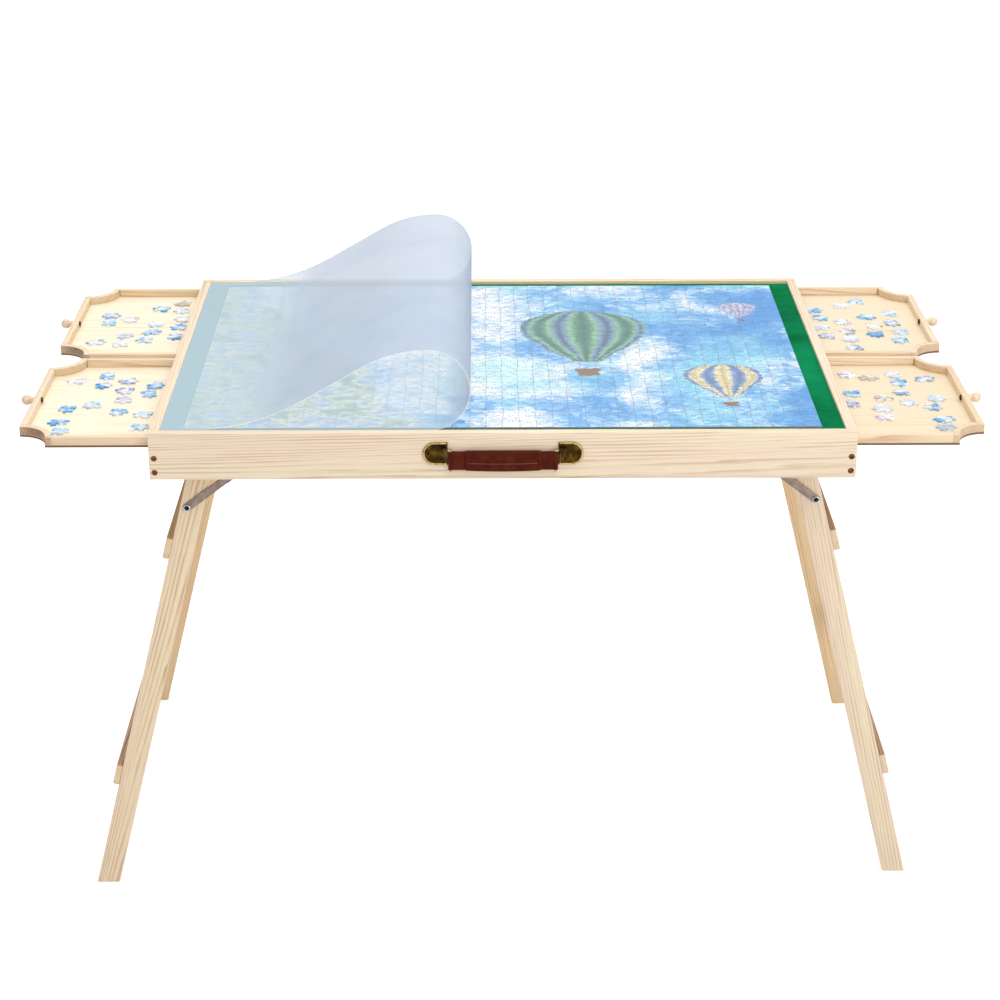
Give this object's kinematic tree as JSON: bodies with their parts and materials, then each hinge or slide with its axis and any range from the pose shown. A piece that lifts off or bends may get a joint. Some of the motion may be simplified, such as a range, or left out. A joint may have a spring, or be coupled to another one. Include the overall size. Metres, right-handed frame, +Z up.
{
  "type": "folding jigsaw puzzle table with drawers",
  "caption": "Low wooden puzzle table with a felt top, clear cover sheet, sliding sorting trays, a carrying handle and splayed legs that fold flat underneath.",
  "frame": {"origin": "on the floor, under the middle of the case", "axes": "+X along the table to the right, +Y from the handle side to the back, +Z up"},
  "size_m": [1.191, 0.6211, 0.7368],
  "materials": {
    "pine": "clear sealed pine with fine grain",
    "plywood": "smooth sanded plywood",
    "steel": "zinc-plated, dull",
    "brass": "antique, darkened",
    "leather": "smooth brown leather",
    "felt": "short green felt",
    "printed_card": "printed board, satin",
    "frosted_sheet": "frosted, translucent"
  },
  "bodies": {
    "case": {"front_rail": "pine", "back_rail": "pine", "side_rail_left": "pine", "side_rail_right": "pine", "side_strips": "pine", "top_board": "plywood", "felt_surface": "felt", "drawer_deck": "plywood", "center_divider": "pine", "drawer_stops": "pine", "corner_screws": "brass", "handle_plates": "brass", "handle_nails": "brass", "leg_cleats": "pine", "pivot_bolts": "steel", "brace_anchors": "steel", "puzzle_panel": "printed_card", "cover_sheet": "frosted_sheet"},
    "handle": {"handle_strap": "leather", "handle_grip": "leather", "handle_bails": "brass"},
    "drawer_front_left": {"drawer_base_front_left": "plywood", "drawer_end_front_left": "pine", "drawer_walls_front_left": "pine", "drawer_corners_front_left": "pine", "knob_front_left": "pine", "knob_screw_front_left": "brass"},
    "drawer_front_right": {"drawer_base_front_right": "plywood", "drawer_end_front_right": "pine", "drawer_walls_front_right": "pine", "drawer_corners_front_right": "pine", "knob_front_right": "pine", "knob_screw_front_right": "brass"},
    "drawer_rear_left": {"drawer_base_rear_left": "plywood", "drawer_end_rear_left": "pine", "drawer_walls_rear_left": "pine", "drawer_corners_rear_left": "pine", "knob_rear_left": "pine", "knob_screw_rear_left": "brass"},
    "drawer_rear_right": {"drawer_base_rear_right": "plywood", "drawer_end_rear_right": "pine", "drawer_walls_rear_right": "pine", "drawer_corners_rear_right": "pine", "knob_rear_right": "pine", "knob_screw_rear_right": "brass"},
    "left_legs": {"leg_front_left": "pine", "leg_rear_left": "pine", "crossbars_left": "pine", "crossbar_screws_left": "steel", "brace_pins_left": "steel"},
    "left_brace_lower": {"brace_lower_left": "steel"},
    "left_brace_upper": {"brace_upper_left": "steel"},
    "right_legs": {"leg_front_right": "pine", "leg_rear_right": "pine", "crossbars_right": "pine", "crossbar_screws_right": "steel", "brace_pins_right": "steel"},
    "right_brace_lower": {"brace_lower_right": "steel"},
    "right_brace_upper": {"brace_upper_right": "steel"}
  },
  "joints": [
    {"name": "drawer_front_left_slide", "type": "slide", "parent": "case", "child": "drawer_front_left", "axis": [-1, 0, 0], "range_m": [-0.16, 0.15]},
    {"name": "drawer_front_right_slide", "type": "slide", "parent": "case", "child": "drawer_front_right", "axis": [1, 0, 0], "range_m": [-0.16, 0.15]},
    {"name": "drawer_rear_left_slide", "type": "slide", "parent": "case", "child": "drawer_rear_left", "axis": [-1, 0, 0], "range_m": [-0.16, 0.15]},
    {"name": "drawer_rear_right_slide", "type": "slide", "parent": "case", "child": "drawer_rear_right", "axis": [1, 0, 0], "range_m": [-0.16, 0.15]},
    {"name": "left_leg_fold", "type": "hinge", "parent": "case", "child": "left_legs", "pos_m": [-0.359, 0, 0.5964], "axis": [0, -1, 0], "range_deg": [0, 104.3]},
    {"name": "left_brace_lower_turn", "type": "hinge", "parent": "left_legs", "child": "left_brace_lower", "pos_m": [-0.38242, 0, 0.5269], "axis": [0, -1, 0], "range_deg": [-0.01, 34.62]},
    {"name": "left_brace_upper_turn", "type": "hinge", "parent": "case", "child": "left_brace_upper", "pos_m": [-0.2824, 0, 0.6034], "axis": [0, -1, 0], "range_deg": [-29.8, 0.01]},
    {"name": "right_leg_fold", "type": "hinge", "parent": "case", "child": "right_legs", "pos_m": [0.359, 0, 0.597], "axis": [0, 1, 0], "range_deg": [0, 104.3]},
    {"name": "right_brace_lower_turn", "type": "hinge", "parent": "right_legs", "child": "right_brace_lower", "pos_m": [0.38242, 0, 0.5275], "axis": [0, 1, 0], "range_deg": [-0.01, 34.62]},
    {"name": "right_brace_upper_turn", "type": "hinge", "parent": "case", "child": "right_brace_upper", "pos_m": [0.2824, 0, 0.604], "axis": [0, 1, 0], "range_deg": [-29.8, 0.01]},
    {"name": "handle_swing", "type": "hinge", "parent": "case", "child": "handle", "pos_m": [0, -0.31105, 0.6175], "axis": [-1, 0, 0], "range_deg": [0, 120]}
  ],
  "couplings": [
    {"joint": "left_brace_lower_turn", "follows": "left_leg_fold", "ratio": 0.33184},
    {"joint": "left_brace_upper_turn", "follows": "left_leg_fold", "ratio": -0.28561},
    {"joint": "right_brace_lower_turn", "follows": "right_leg_fold", "ratio": 0.33184},
    {"joint": "right_brace_upper_turn", "follows": "right_leg_fold", "ratio": -0.28561}
  ]
}
